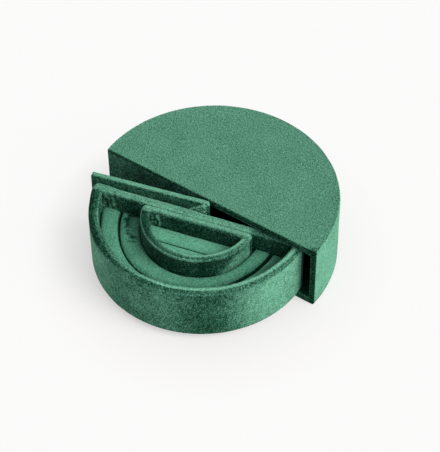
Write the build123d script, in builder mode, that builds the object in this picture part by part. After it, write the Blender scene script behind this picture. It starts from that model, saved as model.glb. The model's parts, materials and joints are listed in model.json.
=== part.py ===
"""Half-moon velvet ring box with a swinging drawer.

The case is a flat drum cut off straight at the front. The left half of its front is a thin
fixed wall and the right half is open. A full-height panel is hinged on a pin in the middle of
the front and carries a D-shaped tray, so the tray swings out of the case as the panel folds
back over the fixed wall. Millimetres, +Z up. The origin is the centre of the case's circle,
on the surface that the box stands on. The front faces -Y.
"""

from build123d import *
from math import asin, cos, degrees, radians, sin, sqrt, tan
import os

# ---- case -------------------------------------------------------------------
case_radius = 90.0  # over the velvet
case_height = 56.6
front_offset = 6.6  # front plane, ahead of the circle's centre
skin = 0.5  # velvet, backing and glue
plate_board = 4.5  # top and base boards
wall_board = 2.6  # curved wall
front_board = 1.0  # fixed half of the front
edge_round = 1.0  # soft outer edges under the velvet
seam_drop = 2.4  # how far the top velvet turns down over the edge
lining = 0.5  # inside of the case
glue = 0.05  # between a board and the velvet on it

# ---- hinge ------------------------------------------------------------------
pin_radius = 0.8
pin_clearance = 0.05  # pin in the case's knuckle, on the radius
knuckle_wall = 1.2
knuckle_gap = 0.3  # between knuckles, along the pin
case_knuckle = 23.0  # length of the case's knuckle
leaf_thickness = 1.0
leaf_depth = 10.0  # how far the panel's leaves reach into its board

# ---- front panel, which carries the tray --------------------------------------
panel_thickness = 5.0  # over the velvet
panel_end_gap = 1.8  # panel's free end, short of the case's radius
panel_gap = 0.3  # folded panel to the case's front
panel_round = 1.4
drawer_angle = 14.8  # at rest: degrees away from folded flat on the fixed wall

# ---- tray -------------------------------------------------------------------
swing_gap = 0.3  # tray's rear face to the fixed wall
wall_gap = 1.1  # tray's far corner to the case's curved wall
floor_gap = 0.5  # tray over the case's floor
rim_gap = 0.9  # rim under the case's ceiling
tray_play = 5.2  # tray's radius is this much less than the case's inside
tray_chord = 5.25  # rear face, ahead of the tray circle's centre
tray_wall = 7.2  # over the velvet
tray_back = 6.4  # over the velvet
tray_base = 2.0
rim_round = 2.6
tray_corner = 4.5  # outer upright corners, seen from above
inner_corner = 3.0
joint_gap = 0.1  # glued joints between covered pieces

# ---- inner box and ring rolls -------------------------------------------------
inner_radius = 42.8
inner_wall = 6.0  # over the velvet
inner_back = 5.4  # over the velvet
inner_shift = 1.5  # along the back wall, from the tray's centre
inner_set_back = 4.2  # circle's centre, behind the back wall's front face
inner_drop = 0.6  # inner rim below the tray's rim
inner_depth = 12.7  # inner rim to the pads
pad_thickness = 9.0
pad_rear_depth = 13.1  # back wall to the slot between the pads
pad_round = 2.0
roll_depth = 20.2  # tray's rim to the top of the ring rolls
roll_round = 3.2
soft_gap = 0.3  # around every roll and pad

# ---- closing magnets ----------------------------------------------------------
magnet_radius = 1.6
magnet_length = 2.0
magnet_end = 26.0  # from the panel's free end

# ---- worked out ---------------------------------------------------------------
plate = plate_board + skin + lining
inner_case_radius = case_radius - skin - wall_board - lining
inside_front = front_offset - skin - front_board
panel_reach = case_radius - panel_end_gap
magnet_reach = panel_reach - magnet_end
board_radius = case_radius - skin - glue
board_front = front_offset - skin - glue
wall_inside = case_radius - skin - wall_board
hinge_y = -(front_offset + panel_gap + panel_thickness / 2)
knuckle_radius = pin_radius + pin_clearance + knuckle_wall
case_knuckle_low = (case_height - case_knuckle) / 2
case_knuckle_high = case_knuckle_low + case_knuckle
seam_height = case_height - seam_drop

tray_offset = -hinge_y - inside_front + swing_gap
tray_reach = sqrt((inner_case_radius - wall_gap) ** 2 - (front_offset + panel_gap) ** 2)
tray_skew = degrees(asin((tray_offset - panel_thickness / 2) / tray_reach))
tray_radius = inner_case_radius - tray_play
tray_half = sqrt(tray_radius**2 - tray_chord**2)
tray_bottom = plate + floor_gap
tray_rim = case_height - plate - rim_gap
tray_floor = tray_bottom + skin + tray_base
tray_well = tray_radius - tray_wall
tray_inside = tray_chord + tray_back

inner_rim = tray_rim - inner_drop
pad_top = inner_rim - inner_depth
pad_bottom = pad_top - pad_thickness
roll_top = tray_rim - roll_depth
inner_well = inner_radius - inner_wall


def turned_plane(angle, origin):
    """A level plane whose x axis is turned by an angle about Z."""
    return Plane(origin=origin, x_dir=(cos(radians(angle)), sin(radians(angle)), 0), z_dir=(0, 0, 1))


panel_plane = turned_plane(drawer_angle, (0, hinge_y, 0))
tray_angle = drawer_angle - tray_skew
swing_plane = turned_plane(tray_angle, (0, hinge_y, 0))
tray_x = tray_half - tray_reach
tray_y = tray_chord - tray_offset
inner_x = tray_x + inner_shift
inner_y = tray_y - tray_inside + inner_set_back
tray_plane = turned_plane(tray_angle, swing_plane.from_local_coords((tray_x, tray_y, 0)))
inner_plane = turned_plane(tray_angle, swing_plane.from_local_coords((inner_x, inner_y, 0)))

# the slot between the two ring rolls runs midway between the inner box and the tray's wall
slot_x = (tray_x + inner_x) / 2
slot_y = (tray_y + inner_y) / 2
slot_radius = (tray_well + inner_radius) / 2
slot_plane = turned_plane(tray_angle, swing_plane.from_local_coords((slot_x, slot_y, 0)))

# front face of the tray's back wall, in each plane
slot_back = tray_inside - (tray_y - slot_y)
inner_set = tray_inside - (tray_y - inner_y)
inner_front = inner_set + inner_back


# ---- profiles, drawn into the sketch in hand ------------------------------------
def half_moon(radius, front):
    """A circle cut off straight ahead of its centre: the case's plan."""
    Circle(radius)
    with Locations((0, radius - front)):
        Rectangle(2 * radius, 2 * radius, mode=Mode.INTERSECT)


def keep_front(radius, chord):
    """Keep what lies further forward than a chord."""
    with Locations((0, -chord - radius)):
        Rectangle(4 * radius, 2 * radius, mode=Mode.INTERSECT)


def round_corners(reach, corner):
    """Round the corners of the plan in hand that lie further out than a reach."""
    fillet(vertices().filter_by(lambda point: abs(point.X) > reach), corner)


def d_shape(radius, chord):
    """The part of a circle ahead of a chord: the tray's plan."""
    Circle(radius)
    keep_front(radius, chord)


def d_band(radius, wall, chord):
    """The curved wall along a D."""
    Circle(radius)
    Circle(radius - wall, mode=Mode.SUBTRACT)
    keep_front(radius, chord)


def back_strip(radius, chord, thickness):
    """The straight wall behind a D, between the ends of its curved wall."""
    d_shape(radius, chord)
    with Locations((0, -chord - thickness - radius)):
        Rectangle(2 * radius, 2 * radius, mode=Mode.SUBTRACT)


def soften_top(part, radius):
    """Round the edges of a piece's top face."""
    fillet(part.faces().sort_by(Axis.Z)[-1].edges(), radius)


def upright_edges(part):
    """The vertical edges where the front meets the curve."""
    return part.edges().filter_by(Axis.Z)


def case_block(inset):
    """The whole case as one soft-edged block, drawn in on every side."""
    with BuildPart() as block:
        with BuildSketch(Plane.XY.offset(inset)):
            half_moon(case_radius - inset, front_offset - inset)
        extrude(amount=case_height - 2 * inset)
        fillet(upright_edges(block), edge_round - inset)
        soften_top(block, edge_round - inset)
    return block.part


def curved_wall(plane, radius, wall, chord, corner, bottom, rim, inset):
    """The curved wall of a D-shaped box with a round rim, drawn in on its sides and rim."""
    with BuildPart() as block:
        with BuildSketch(plane.offset(bottom)):
            d_band(radius - inset, wall - 2 * inset, chord + inset)
            round_corners(sqrt(radius**2 - chord**2) - wall / 2, corner - inset)
        extrude(amount=rim - inset - bottom)
        soften_top(block, rim_round - inset)
    return block.part


def straight_wall(plane, radius, chord, thickness, bottom, rim, inset):
    """The straight wall behind a D-shaped box with a round rim, drawn in the same way."""
    with BuildPart() as block:
        with BuildSketch(plane.offset(bottom)):
            back_strip(radius, chord + inset, thickness - 2 * inset)
        extrude(amount=rim - inset - bottom)
        soften_top(block, rim_round - joint_gap - inset)
    return block.part


# ---- case: envelope and boards ----------------------------------------------------
case_envelope = case_block(0)
case_cavity = case_block(skin)
case_core = case_block(skin + glue)

with BuildPart() as case_shell:
    add(case_envelope)
    add(case_cavity, mode=Mode.SUBTRACT)

span = 3 * case_radius
corner_line = -front_offset + edge_round + skin
wall_end_x = sqrt(inner_case_radius**2 - front_offset**2)
leaf_left = -leaf_thickness / 4
board_low = skin + plate_board
board_high = case_height - skin - plate_board
magnet_heights = ((skin + board_low) / 2, (board_high + case_height - edge_round) / 2)

with BuildPart() as case_base_cover:
    add(case_envelope)
    with Locations((0, 0, skin)):
        Box(span, span, span, align=(Align.CENTER, Align.CENTER, Align.MIN), mode=Mode.SUBTRACT)

with BuildPart() as case_base_board:
    add(case_core)
    with Locations((0, 0, skin + plate_board)):
        Box(span, span, span, align=(Align.CENTER, Align.CENTER, Align.MIN), mode=Mode.SUBTRACT)
    with Locations(Plane((magnet_reach, -board_front, magnet_heights[0]), z_dir=(0, -1, 0))):
        Hole(magnet_radius, magnet_length)

with BuildPart() as case_top_board:
    add(case_core)
    with Locations((0, 0, case_height - skin - plate_board)):
        Box(span, span, span, align=(Align.CENTER, Align.CENTER, Align.MAX), mode=Mode.SUBTRACT)
    with Locations(Plane((magnet_reach, -board_front, magnet_heights[1]), z_dir=(0, -1, 0))):
        Hole(magnet_radius, magnet_length)

with BuildPart() as case_magnets:
    for height in magnet_heights:
        with BuildSketch(Plane((magnet_reach, -board_front, height), z_dir=(0, 1, 0))):
            Circle(magnet_radius)
        extrude(amount=magnet_length)

with BuildPart() as case_wall_board:
    with BuildSketch(Plane.XY.offset(board_low)):
        half_moon(board_radius, board_front)
        Circle(wall_inside, mode=Mode.SUBTRACT)
    extrude(amount=board_high - board_low)
    outer_corners = upright_edges(case_wall_board).filter_by(
        lambda edge: edge.center().Y < corner_line and abs(edge.center().X) > wall_inside
    )
    fillet(outer_corners, edge_round - skin - glue)

with BuildPart() as case_front_board:
    with BuildSketch(Plane.XY.offset(board_low)):
        half_moon(wall_inside - glue, board_front)
        with Locations((0, case_radius - inside_front)):
            Rectangle(span, 2 * case_radius, mode=Mode.SUBTRACT)
        with Locations((leaf_left + case_radius, 0)):
            Rectangle(2 * case_radius, span, mode=Mode.SUBTRACT)
    extrude(amount=board_high - board_low)

with BuildPart() as case_floor_lining:
    with BuildSketch(Plane.XY.offset(board_low)):
        half_moon(wall_inside - glue, inside_front)
    extrude(amount=lining)

with BuildPart() as case_ceiling_lining:
    with BuildSketch(Plane.XY.offset(board_high - lining)):
        half_moon(wall_inside - glue, inside_front)
    extrude(amount=lining)

with BuildPart() as case_wall_lining:
    with BuildSketch(Plane.XY.offset(plate)):
        half_moon(wall_inside - glue, inside_front)
        Circle(inner_case_radius, mode=Mode.SUBTRACT)
    extrude(amount=case_height - 2 * plate)

# ---- case: velvet ---------------------------------------------------------------
with BuildPart() as case_top_velvet:
    add(case_shell.part)
    with Locations((0, 0, seam_height)):
        Box(span, span, span, align=(Align.CENTER, Align.CENTER, Align.MAX), mode=Mode.SUBTRACT)

with BuildPart() as side_velvet:
    add(case_shell.part)
    with Locations((0, 0, skin)):
        middle = (Align.CENTER, Align.CENTER, Align.MIN)
        Box(span, span, seam_height - skin, align=middle, mode=Mode.INTERSECT)

with BuildPart() as case_wall_velvet:
    add(side_velvet.part)
    with Locations((wall_end_x, corner_line, 0)):
        Box(span, span, span, align=(Align.MAX, Align.MAX, Align.CENTER), mode=Mode.SUBTRACT)

with BuildPart() as case_front_velvet:
    add(side_velvet.part)
    with Locations((leaf_left, corner_line, 0)):
        Box(span, span, span, align=(Align.MAX, Align.MAX, Align.CENTER), mode=Mode.INTERSECT)

with BuildPart() as case_edge_velvet:
    add(side_velvet.part)
    with Locations((leaf_left, corner_line, 0)):
        strip = wall_end_x - leaf_left
        Box(strip, span, span, align=(Align.MIN, Align.MAX, Align.CENTER), mode=Mode.INTERSECT)
    with Locations((0, 0, plate)):
        opening_height = case_height - 2 * plate
        Box(span, span, opening_height, align=(Align.CENTER, Align.CENTER, Align.MIN), mode=Mode.SUBTRACT)

# ---- hinge ------------------------------------------------------------------------
panel_board_end = knuckle_radius + knuckle_gap
panel_core = panel_thickness - 2 * skin
knuckle_spans = [(skin, case_knuckle_low - knuckle_gap), (case_knuckle_high + knuckle_gap, case_height - skin)]

with BuildPart() as hinge_pin:
    with BuildSketch(Plane((0, hinge_y, skin))):
        Circle(pin_radius)
    extrude(amount=case_height - 2 * skin)
    chamfer(hinge_pin.edges().filter_by(GeomType.CIRCLE), pin_radius / 4)

with BuildPart() as hinge_case_leaf:
    with BuildSketch(Plane((0, hinge_y, case_knuckle_low))):
        Circle(knuckle_radius)
        with Locations((leaf_left, 0)):
            leaf_length = -hinge_y - inside_front - knuckle_gap
            Rectangle(leaf_thickness, leaf_length, align=(Align.MIN, Align.MIN))
        Circle(pin_radius + pin_clearance, mode=Mode.SUBTRACT)
    extrude(amount=case_knuckle)

with BuildPart() as hinge_panel_leaves:
    for low, high in knuckle_spans:
        with BuildSketch(panel_plane.offset(low)):
            Circle(knuckle_radius)
            leaf_reach = panel_board_end + leaf_depth
            Rectangle(leaf_reach, leaf_thickness, align=(Align.MAX, Align.CENTER))
            Circle(pin_radius, mode=Mode.SUBTRACT)
        extrude(amount=high - low)

# ---- panel ------------------------------------------------------------------------
panel_magnet_y = glue - panel_core / 2

with BuildPart() as panel_board:
    with BuildSketch(panel_plane):
        with Locations((-panel_board_end, 0)):
            board_length = panel_reach - skin - glue - panel_board_end
            Rectangle(board_length, panel_core - 2 * glue, align=(Align.MAX, Align.CENTER))
    extrude(amount=case_height - skin - glue)
    soften_top(panel_board, panel_round - skin - glue)
    for low, high in knuckle_spans:
        with BuildSketch(panel_plane.offset(low)):
            with Locations((-panel_board_end, 0)):
                Rectangle(leaf_depth, leaf_thickness, align=(Align.MAX, Align.CENTER))
        extrude(amount=high - low, mode=Mode.SUBTRACT)
    for height in magnet_heights:
        seat = panel_plane.from_local_coords((-magnet_reach, panel_magnet_y, height))
        with Locations(Plane(seat, z_dir=-panel_plane.y_dir)):
            Hole(magnet_radius, magnet_length)

with BuildPart() as panel_magnets:
    for height in magnet_heights:
        seat = panel_plane.from_local_coords((-magnet_reach, panel_magnet_y, height))
        with BuildSketch(Plane(seat, z_dir=panel_plane.y_dir)):
            Circle(magnet_radius)
        extrude(amount=magnet_length)

with BuildPart() as panel_velvet:
    with BuildSketch(panel_plane):
        Rectangle(panel_reach, panel_thickness, align=(Align.MAX, Align.CENTER))
        Circle(panel_thickness / 2)
    extrude(amount=case_height)
    soften_top(panel_velvet, panel_round)
    with BuildSketch(panel_plane):
        core_length = panel_reach - skin
        Rectangle(core_length, panel_core, align=(Align.MAX, Align.CENTER))
        Circle(panel_core / 2 + joint_gap)
    extrude(amount=case_height - skin, mode=Mode.SUBTRACT)
    with BuildSketch(panel_plane.offset(case_knuckle_low - knuckle_gap)):
        with Locations((-panel_board_end, 0)):
            notch = panel_board_end + panel_thickness
            Rectangle(notch, 2 * panel_thickness, align=(Align.MIN, Align.CENTER))
    extrude(amount=case_knuckle + 2 * knuckle_gap, mode=Mode.SUBTRACT)

# ---- tray -------------------------------------------------------------------------
with BuildPart() as tray_base_velvet:
    with BuildSketch(tray_plane.offset(tray_bottom)):
        d_shape(tray_radius, tray_chord)
        round_corners(tray_well, tray_corner)
    extrude(amount=skin)

with BuildPart() as tray_base_board:
    with BuildSketch(tray_plane.offset(tray_bottom + skin)):
        d_shape(tray_radius - skin - glue, tray_chord + skin + glue)
        round_corners(tray_well, tray_corner - skin - glue)
    extrude(amount=tray_base)

tray_curve = (tray_plane, tray_radius, tray_wall, tray_chord, tray_corner)
tray_straight = (tray_plane, tray_well - joint_gap, tray_chord, tray_back)

with BuildPart() as tray_base_cavity:
    with BuildSketch(tray_plane.offset(tray_bottom + skin)):
        d_shape(tray_radius - skin, tray_chord + skin)
        round_corners(tray_well, tray_corner - skin)
    extrude(amount=tray_base)

with BuildPart() as tray_wall_board:
    add(curved_wall(*tray_curve, tray_floor, tray_rim, skin + glue))

with BuildPart() as tray_wall_velvet:
    add(curved_wall(*tray_curve, tray_bottom + skin, tray_rim, 0))
    add(curved_wall(*tray_curve, tray_floor, tray_rim, skin), mode=Mode.SUBTRACT)
    add(tray_base_cavity.part, mode=Mode.SUBTRACT)

with BuildPart() as tray_back_board:
    add(straight_wall(*tray_straight, tray_floor, tray_rim, skin + glue))

with BuildPart() as tray_back_velvet:
    add(straight_wall(*tray_straight, tray_bottom + skin, tray_rim, 0))
    add(straight_wall(*tray_straight, tray_floor, tray_rim, skin), mode=Mode.SUBTRACT)
    add(tray_base_cavity.part, mode=Mode.SUBTRACT)

# ---- where the tray is glued to the panel ---------------------------------------------
near_face = -panel_thickness / 2
spacer_ends = (-0.86 * tray_reach, -panel_board_end)
spacer_low = tray_bottom + rim_round
spacer_high = tray_rim - tray_wall
gusset_reach = 20.0
gusset_thin = 0.8


def wedge_face(x):
    """How far ahead of the hinge axis the tray's rear face lies, in the panel's plane."""
    return -tray_offset / cos(radians(tray_skew)) - x * tan(radians(tray_skew))


def wedge(left, right):
    """The plan of the narrow gap between the panel and the tray's rear face."""
    Polygon(
        (left, near_face),
        (right, near_face),
        (right, wedge_face(right)),
        (left, wedge_face(left)),
        align=None,
    )


with BuildPart() as tray_spacer:
    with BuildSketch(panel_plane.offset(spacer_low)):
        wedge(*spacer_ends)
    extrude(amount=spacer_high - spacer_low)

with BuildPart() as hinge_gusset:
    with BuildSketch(panel_plane.offset(spacer_high)):
        wedge(spacer_ends[1] - gusset_reach, spacer_ends[1])
    extrude(amount=tray_rim - spacer_high)
    slope_low = panel_plane.from_local_coords((spacer_ends[1] - gusset_reach, 0, spacer_high + gusset_thin))
    slope_high = panel_plane.from_local_coords((spacer_ends[1], 0, tray_rim))
    slope_run = slope_high - slope_low
    slope = Plane(origin=slope_low, x_dir=slope_run, z_dir=slope_run.cross(panel_plane.y_dir))
    split(bisect_by=slope, keep=Keep.BOTTOM)

# ---- inner box ----------------------------------------------------------------------
with BuildPart() as inner_riser:
    with BuildSketch(inner_plane.offset(tray_floor)):
        d_shape(inner_well - joint_gap, inner_front + joint_gap)
    extrude(amount=pad_bottom - tray_floor)

inner_curve = (inner_plane, inner_radius, inner_wall, inner_set + joint_gap, inner_corner)
inner_straight = (inner_plane, inner_well - joint_gap, inner_set + joint_gap, inner_back - joint_gap)

with BuildPart() as inner_wall_board:
    add(curved_wall(*inner_curve, tray_floor, inner_rim, skin + glue))

with BuildPart() as inner_wall_velvet:
    add(curved_wall(*inner_curve, tray_floor, inner_rim, 0))
    add(curved_wall(*inner_curve, tray_floor, inner_rim, skin), mode=Mode.SUBTRACT)

with BuildPart() as inner_back_board:
    add(straight_wall(*inner_straight, tray_floor, inner_rim, skin + glue))

with BuildPart() as inner_back_velvet:
    add(straight_wall(*inner_straight, tray_floor, inner_rim, 0))
    add(straight_wall(*inner_straight, tray_floor, inner_rim, skin), mode=Mode.SUBTRACT)

# ---- pads and ring rolls ---------------------------------------------------------------
slot_chord = inner_front + pad_rear_depth
pad_radius = inner_well - soft_gap

with BuildPart() as inner_pad_rear:
    with BuildSketch(inner_plane.offset(pad_bottom)):
        back_strip(pad_radius, inner_front + soft_gap, pad_rear_depth - 1.5 * soft_gap)
    extrude(amount=pad_thickness)
    soften_top(inner_pad_rear, pad_round)

with BuildPart() as inner_pad_front:
    with BuildSketch(inner_plane.offset(pad_bottom)):
        d_shape(pad_radius, slot_chord + soft_gap / 2)
    extrude(amount=pad_thickness)
    soften_top(inner_pad_front, pad_round)

with BuildPart() as outer_ring_roll:
    with BuildSketch(tray_plane.offset(tray_floor)):
        d_shape(tray_well - soft_gap, tray_inside + soft_gap)
        with Locations((slot_x - tray_x, slot_y - tray_y)):
            Circle(slot_radius + soft_gap / 2, mode=Mode.SUBTRACT)
    extrude(amount=roll_top - tray_floor)
    soften_top(outer_ring_roll, roll_round)

with BuildPart() as middle_ring_roll:
    with BuildSketch(slot_plane.offset(tray_floor)):
        d_shape(slot_radius - soft_gap / 2, slot_back + soft_gap)
        with Locations((inner_x - slot_x, inner_y - slot_y)):
            Circle(inner_radius + soft_gap, mode=Mode.SUBTRACT)
    extrude(amount=roll_top - tray_floor)
    soften_top(middle_ring_roll, roll_round)

# ---- one STEP file a piece -----------------------------------------------------------------
pieces = {
    "case_base_cover": case_base_cover,
    "case_base_board": case_base_board,
    "case_top_board": case_top_board,
    "case_wall_board": case_wall_board,
    "case_front_board": case_front_board,
    "case_floor_lining": case_floor_lining,
    "case_ceiling_lining": case_ceiling_lining,
    "case_wall_lining": case_wall_lining,
    "case_top_velvet": case_top_velvet,
    "case_wall_velvet": case_wall_velvet,
    "case_front_velvet": case_front_velvet,
    "case_edge_velvet": case_edge_velvet,
    "case_magnets": case_magnets,
    "hinge_case_leaf": hinge_case_leaf,
    "hinge_pin": hinge_pin,
    "hinge_panel_leaves": hinge_panel_leaves,
    "hinge_gusset": hinge_gusset,
    "panel_board": panel_board,
    "panel_velvet": panel_velvet,
    "panel_magnets": panel_magnets,
    "tray_spacer": tray_spacer,
    "tray_base_velvet": tray_base_velvet,
    "tray_base_board": tray_base_board,
    "tray_wall_board": tray_wall_board,
    "tray_wall_velvet": tray_wall_velvet,
    "tray_back_board": tray_back_board,
    "tray_back_velvet": tray_back_velvet,
    "inner_riser": inner_riser,
    "inner_wall_board": inner_wall_board,
    "inner_wall_velvet": inner_wall_velvet,
    "inner_back_board": inner_back_board,
    "inner_back_velvet": inner_back_velvet,
    "inner_pad_rear": inner_pad_rear,
    "inner_pad_front": inner_pad_front,
    "outer_ring_roll": outer_ring_roll,
    "middle_ring_roll": middle_ring_roll,
}

os.makedirs("parts", exist_ok=True)
for name, piece in pieces.items():
    piece.part.label = name
    export_step(piece.part, f"parts/{name}.step")

print(f"hinge axis at y = {hinge_y:.2f}, tray skew {tray_skew:.2f} degrees, {len(pieces)} pieces")
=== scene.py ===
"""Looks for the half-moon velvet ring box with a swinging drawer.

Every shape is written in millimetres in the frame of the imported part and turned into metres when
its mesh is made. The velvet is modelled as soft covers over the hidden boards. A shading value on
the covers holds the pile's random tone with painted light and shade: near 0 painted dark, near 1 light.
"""

import json
import math

import bmesh
import bpy
from mathutils import Matrix, Vector, noise


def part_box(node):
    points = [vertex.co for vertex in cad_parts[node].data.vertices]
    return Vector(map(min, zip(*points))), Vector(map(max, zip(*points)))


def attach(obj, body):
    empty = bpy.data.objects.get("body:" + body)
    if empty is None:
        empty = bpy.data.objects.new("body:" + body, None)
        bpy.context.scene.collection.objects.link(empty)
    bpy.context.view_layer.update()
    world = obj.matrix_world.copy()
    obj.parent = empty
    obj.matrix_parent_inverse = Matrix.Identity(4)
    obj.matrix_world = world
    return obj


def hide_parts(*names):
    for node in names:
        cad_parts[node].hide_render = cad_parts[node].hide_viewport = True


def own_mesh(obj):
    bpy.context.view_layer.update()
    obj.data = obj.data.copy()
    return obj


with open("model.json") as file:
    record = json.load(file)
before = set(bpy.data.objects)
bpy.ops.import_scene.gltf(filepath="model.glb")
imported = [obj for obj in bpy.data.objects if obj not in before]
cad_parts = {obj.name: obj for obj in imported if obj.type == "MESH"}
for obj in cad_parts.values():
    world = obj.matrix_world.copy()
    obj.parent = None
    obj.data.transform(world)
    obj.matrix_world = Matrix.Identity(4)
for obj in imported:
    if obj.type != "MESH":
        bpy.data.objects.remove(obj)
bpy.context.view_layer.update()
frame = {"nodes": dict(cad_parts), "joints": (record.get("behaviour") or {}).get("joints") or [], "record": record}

MM = 0.001

# ---- sizes of the case, the first of them read from the frame --------
wall_low, wall_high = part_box("case_wall_velvet")
top_low, top_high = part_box("case_top_velvet")
CASE_RADIUS = (wall_high[0] - wall_low[0]) / 2 / MM
CASE_HEIGHT = top_high[2] / MM
FRONT = -wall_low[1] / MM  # flat front, ahead of the circle's centre
SEAM_HEIGHT = top_low[2] / MM
PLATE = 5.5  # top or base board with its velvet and lining
CASE_ROUND = 1.0
WALL_END = 86.1  # open end of the curved wall
HINGE_X = -0.25  # open end of the fixed half of the front

# ---- sizes of the drawer: its frame starts at the hinge, with x along the back wall 
hinge = frame["joints"][0]
HINGE_Y = hinge["pos_m"][1] / MM
DRAWER_ANGLE = 14.8  # degrees from folded flat on the fixed front
TRAY_SKEW = 1.4154  # degrees between the panel and the tray's back wall
TRAY_ANGLE = DRAWER_ANGLE - TRAY_SKEW
PANEL_REACH = 88.2
PANEL_THICKNESS = 5.0
PANEL_ROUND = 1.6
TRAY_RADIUS = 81.2
TRAY_CHORD = 5.25  # rear face, ahead of the tray circle's centre
TRAY_X = -3.99
TRAY_Y = 0.65
TRAY_WALL = 7.2
TRAY_BACK = 6.4
TRAY_CORNER = 4.5
TRAY_BOTTOM = 6.0
TRAY_FLOOR = 8.5
TRAY_RIM = 50.2
LID_CLEARANCE = 50.75  # no cover of the tray stands higher, so that it swings in under the top
TRAY_OFFSET = TRAY_CHORD - TRAY_Y  # rear face, ahead of the hinge
BACK_FACE = TRAY_OFFSET + TRAY_BACK  # front face of the tray's back wall, ahead of the hinge
INNER_RADIUS = 42.8
INNER_X = TRAY_X + 1.5
INNER_Y = 4.2 - BACK_FACE
INNER_WALL = 6.0
INNER_BACK = 5.4
INNER_CORNER = 3.0
INNER_RIM = TRAY_RIM - 0.6
INNER_FACE = BACK_FACE + INNER_BACK  # front face of the inner box's back wall, ahead of the hinge
PAD_TOP = INNER_RIM - 12.7
PAD_BOTTOM = PAD_TOP - 9.0
PAD_SPLIT = 13.1  # inner box's back wall to the slit between the pads
PAD_ROUND = 1.1
PAD_CROWN = 0.5
ROLL_TOP = 33.2
ROLL_ROUND = 4.5
SLOT_RADIUS = (TRAY_RADIUS - TRAY_WALL + INNER_RADIUS) / 2
SOFT_GAP = 0.3
TRAY_CENTRE = (TRAY_X, TRAY_Y)
INNER_CENTRE = (INNER_X, INNER_Y)
SLOT_CENTRE = ((TRAY_X + INNER_X) / 2, (TRAY_Y + INNER_Y) / 2)


# ---- outlines --------------------------------------------------------
def straight(start, end, count):
    """Points along a line, without its last one."""
    (x, y), (end_x, end_y) = start, end
    return [(x + (end_x - x) * i / count, y + (end_y - y) * i / count) for i in range(count)]


def arc(centre, radius, start, end, count):
    """Points along an arc between two angles, without its last one."""
    angles = [start + (end - start) * i / count for i in range(count)]
    return [(centre[0] + radius * math.cos(a), centre[1] + radius * math.sin(a)) for a in angles]


def d_outline(radius, chord, corner, line_count, corner_count, arc_count):
    """Closed outline of the part of a circle below y = -chord, with rounded corners.

    It starts in the middle of the straight side and runs to the right, round the curve and back.
    """
    level = -chord - corner
    x = math.sqrt((radius - corner) ** 2 - level**2)
    side = math.atan2(level, x)
    half = line_count // 2
    points = straight((0, -chord), (x, -chord), half)
    points += arc((x, level), corner, math.pi / 2, side, corner_count)
    points += arc((0, 0), radius, side, -math.pi - side, arc_count)
    points += arc((-x, level), corner, -math.pi - side, -3 * math.pi / 2, corner_count)
    points += straight((-x, -chord), (0, -chord), half)
    return points


def half_moon_outline(radius, front, corner, line_count, corner_count, arc_count):
    """Closed outline of the part of a circle behind y = -front, clockwise from above."""
    level = -front + corner
    x = math.sqrt((radius - corner) ** 2 - level**2)
    side = math.atan2(level, x)
    half = line_count // 2
    points = straight((0, -front), (-x, -front), half)
    points += arc((-x, level), corner, -math.pi / 2, -math.pi - side, corner_count)
    points += arc((0, 0), radius, math.pi - side, side, arc_count)
    points += arc((x, level), corner, side, -math.pi / 2, corner_count)
    points += straight((x, -front), (0, -front), half)
    return points


def placed(points, origin, angle):
    """Points turned by an angle in degrees and moved to an origin."""
    c = math.cos(math.radians(angle))
    s = math.sin(math.radians(angle))
    return [(origin[0] + x * c - y * s, origin[1] + x * s + y * c) for x, y in points]


def swung(points, origin=(0.0, 0.0), angle=TRAY_ANGLE):
    """Points of a drawer piece, given about its own centre in the drawer's frame, in the row frame."""
    moved = [(x + origin[0], y + origin[1]) for x, y in points]
    return placed(moved, (0.0, HINGE_Y), angle)


def swung_row(places, angle=TRAY_ANGLE):
    """Points with heights, given in the drawer's frame, in the row frame."""
    flat = swung([(x, y) for x, y, _ in places], angle=angle)
    return [Vector((x, y, z)) for (x, y), (_, _, z) in zip(flat, places)]


def swing_place(place, angle=TRAY_ANGLE):
    """The reverse of swung: how far a point lies along and ahead of the line through the hinge."""
    c = math.cos(math.radians(angle))
    s = math.sin(math.radians(angle))
    y = place.y - HINGE_Y
    return place.x * c + y * s, -place.x * s + y * c


def toward(points, centre, share):
    """Points drawn towards a centre by a share of their distance."""
    return [(x + (centre[0] - x) * share, y + (centre[1] - y) * share) for x, y in points]


def inset(points, distance, closed=True):
    """An outline drawn in along its own normals. It runs clockwise seen from above."""
    last = len(points) - 1
    result = []
    for i, (x, y) in enumerate(points):
        before = points[i - 1] if closed else points[max(i - 1, 0)]
        after = points[(i + 1) % (last + 1)] if closed else points[min(i + 1, last)]
        dx = after[0] - before[0]
        dy = after[1] - before[1]
        length = math.hypot(dx, dy) or 1.0
        result.append((x + dy / length * distance, y - dx / length * distance))
    return result


def lifted(points, z):
    """Outline points at one height."""
    return [Vector((x, y, z)) for x, y in points]


def steps(start, end, count):
    """Evenly spaced values, both ends included."""
    return [start + (end - start) * i / (count - 1) for i in range(count)]


def rounded_rows(outline_at, z, radius, angles):
    """Rows that turn over a round edge, from a function that gives the outline at an inset."""
    rows = []
    for angle in angles:
        a = math.radians(angle)
        rows.append(lifted(outline_at(radius * (1 - math.cos(a))), z + radius * math.sin(a)))
    return rows


def arch(angle, width_power, height_power):
    """Shares of the width and height of a flattened half round, at an angle in degrees."""
    a = math.radians(angle)
    across = math.copysign(abs(math.cos(a)) ** width_power, math.cos(a))
    return 0.5 - 0.5 * across, math.sin(a) ** height_power


# ---- slopes and noise ------------------------------------------------
def smooth_step(value):
    """0 below 0, 1 above 1, and an easy slope between."""
    t = min(max(value, 0.0), 1.0)
    return t * t * (3 - 2 * t)


def rise(value, start, width):
    """0 up to a start, and 1 from a width beyond it."""
    return smooth_step((value - start) / width)


def fall(value, end, width):
    """1 down to a width before an end, and 0 from there on."""
    return smooth_step((end - value) / width)


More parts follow.
